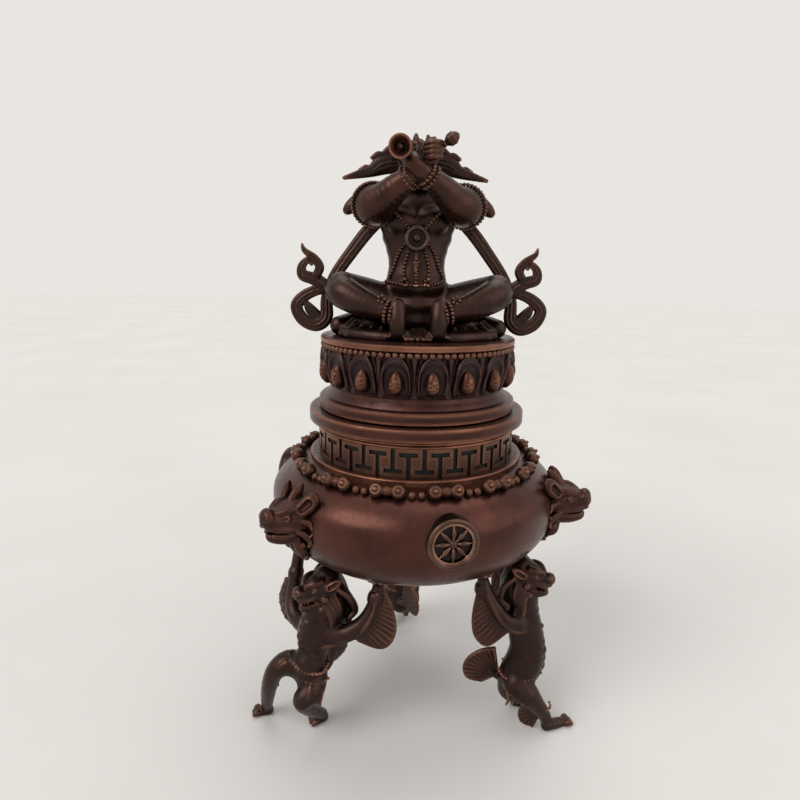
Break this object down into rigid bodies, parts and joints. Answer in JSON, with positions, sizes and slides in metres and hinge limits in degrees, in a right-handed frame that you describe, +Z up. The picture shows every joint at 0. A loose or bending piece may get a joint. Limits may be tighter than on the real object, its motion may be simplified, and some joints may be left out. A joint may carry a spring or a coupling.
{
  "type": "incense burner",
  "caption": "Tripod incense burner in patinated copper alloy: squat bowl on upright lions, with a lift-off lotus lid carrying a seated deity.",
  "frame": {"origin": "on the bowl's axis, at the level of the table the feet stand on", "axes": "+Z up along the bowl's axis; -Y is the front that the seated figure faces; +X is to the right as seen from the front"},
  "size_m": [0.1174, 0.1133, 0.2022],
  "materials": {
    "burnished_copper": "red-brown patinated copper alloy, hand burnished",
    "dark_bronze": "near-black patina with worn copper edges",
    "worn_copper": "copper relief with the patina rubbed off its high points",
    "plain_bronze": "as-cast dull bronze of hidden fixings"
  },
  "bodies": {
    "bowl_body": {"bowl": "burnished_copper", "neck_collar": "burnished_copper", "fret_band": "dark_bronze", "garland_thunderbolts": "worn_copper", "garland_beads": "worn_copper", "wheel_front": "burnished_copper", "wheel_right_rear": "burnished_copper", "wheel_left_rear": "burnished_copper", "beast_head_left": "burnished_copper", "beast_head_right": "burnished_copper", "beast_head_rear": "burnished_copper", "lion_left_body": "dark_bronze", "lion_left_foreleg_a": "dark_bronze", "lion_left_foreleg_b": "dark_bronze", "lion_left_hindlegs": "dark_bronze", "lion_left_tail": "dark_bronze", "lion_right_body": "dark_bronze", "lion_right_foreleg_a": "dark_bronze", "lion_right_foreleg_b": "dark_bronze", "lion_right_hindlegs": "dark_bronze", "lion_right_tail": "dark_bronze", "lion_rear_body": "dark_bronze", "lion_rear_foreleg_a": "dark_bronze", "lion_rear_foreleg_b": "dark_bronze", "lion_rear_hindlegs": "dark_bronze", "lion_rear_tail": "dark_bronze", "paw_rivets": "plain_bronze", "head_rivets": "plain_bronze", "wheel_rivets": "plain_bronze"},
    "lid_body": {"lid_shell": "dark_bronze", "lid_locating_ring": "dark_bronze", "lotus_petals": "dark_bronze", "petal_bosses": "worn_copper", "lid_beads": "worn_copper", "figure_body": "dark_bronze", "figure_head": "dark_bronze", "figure_crown": "dark_bronze", "figure_left_arm": "dark_bronze", "figure_right_arm": "dark_bronze", "figure_medallion": "worn_copper", "scarf_left": "dark_bronze", "scarf_right": "dark_bronze", "bell": "worn_copper", "bell_clapper": "plain_bronze", "vajra": "worn_copper", "figure_screw": "plain_bronze", "figure_nut": "plain_bronze"}
  },
  "joints": [
    {"name": "lid_lift", "type": "slide", "parent": "bowl_body", "child": "lid_body", "axis": [0, 0, 1], "range_m": [0, 0.08]}
  ]
}
